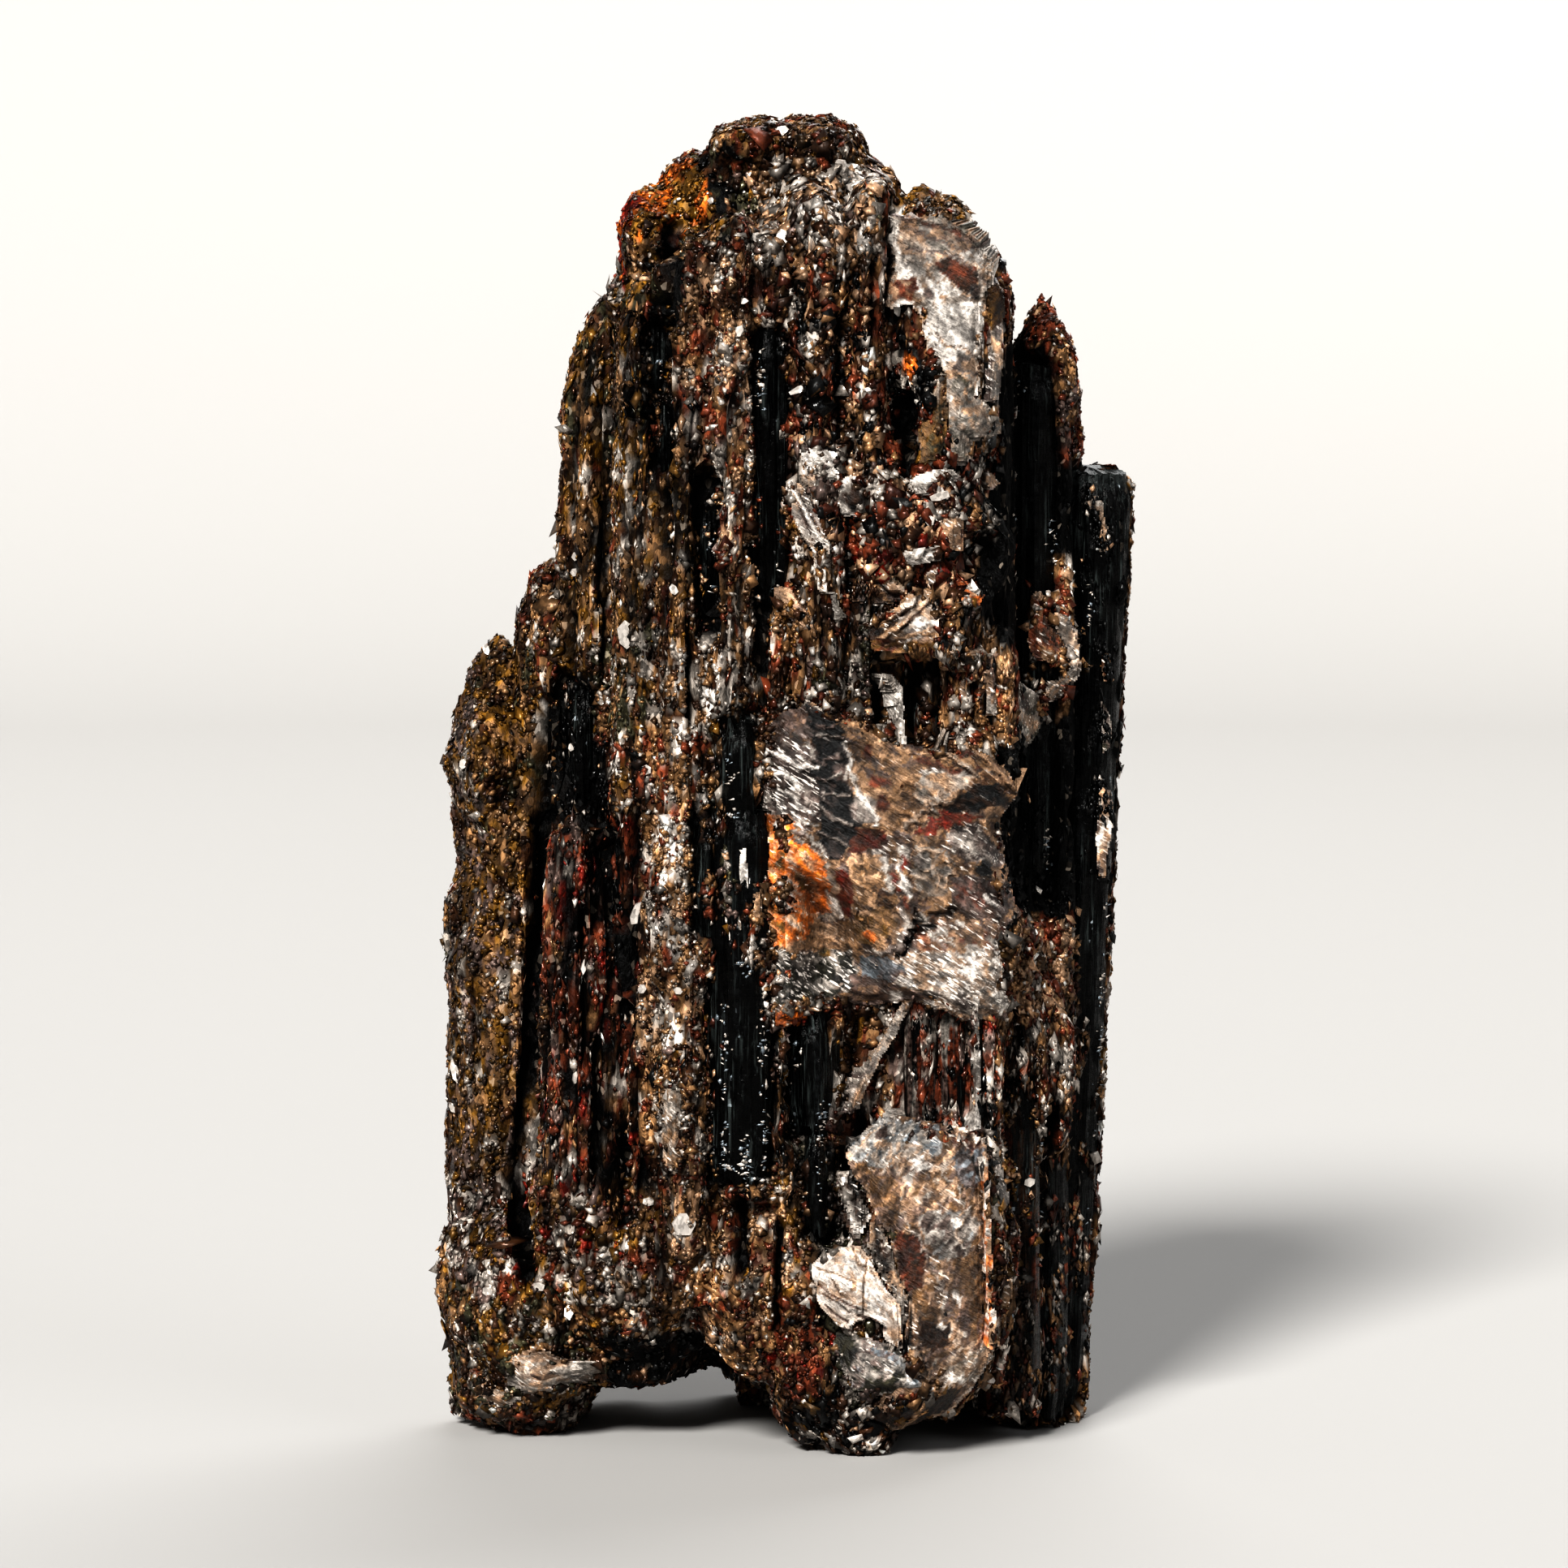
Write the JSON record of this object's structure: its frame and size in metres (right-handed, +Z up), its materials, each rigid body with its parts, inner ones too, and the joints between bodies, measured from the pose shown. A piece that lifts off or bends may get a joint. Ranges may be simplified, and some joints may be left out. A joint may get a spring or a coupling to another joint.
{
  "type": "black tourmaline specimen",
  "caption": "Standing mineral specimen: a bundle of intergrown striated black tourmaline prisms with silvery brown mica books, scales and crust.",
  "frame": {"origin": "on the ground, under the middle of the specimen's overall box, which stands on its feet", "axes": "+Z up along the prisms, +X to the right seen from the front, and the front faces -Y"},
  "size_m": [0.0428, 0.026, 0.08],
  "materials": {
    "tourmaline_and_mica": "glossy black striated prisms under silvery brown, rust-stained mica scales and sheets"
  },
  "bodies": {
    "root": {"tourmaline_specimen": "tourmaline_and_mica"}
  },
  "joints": []
}
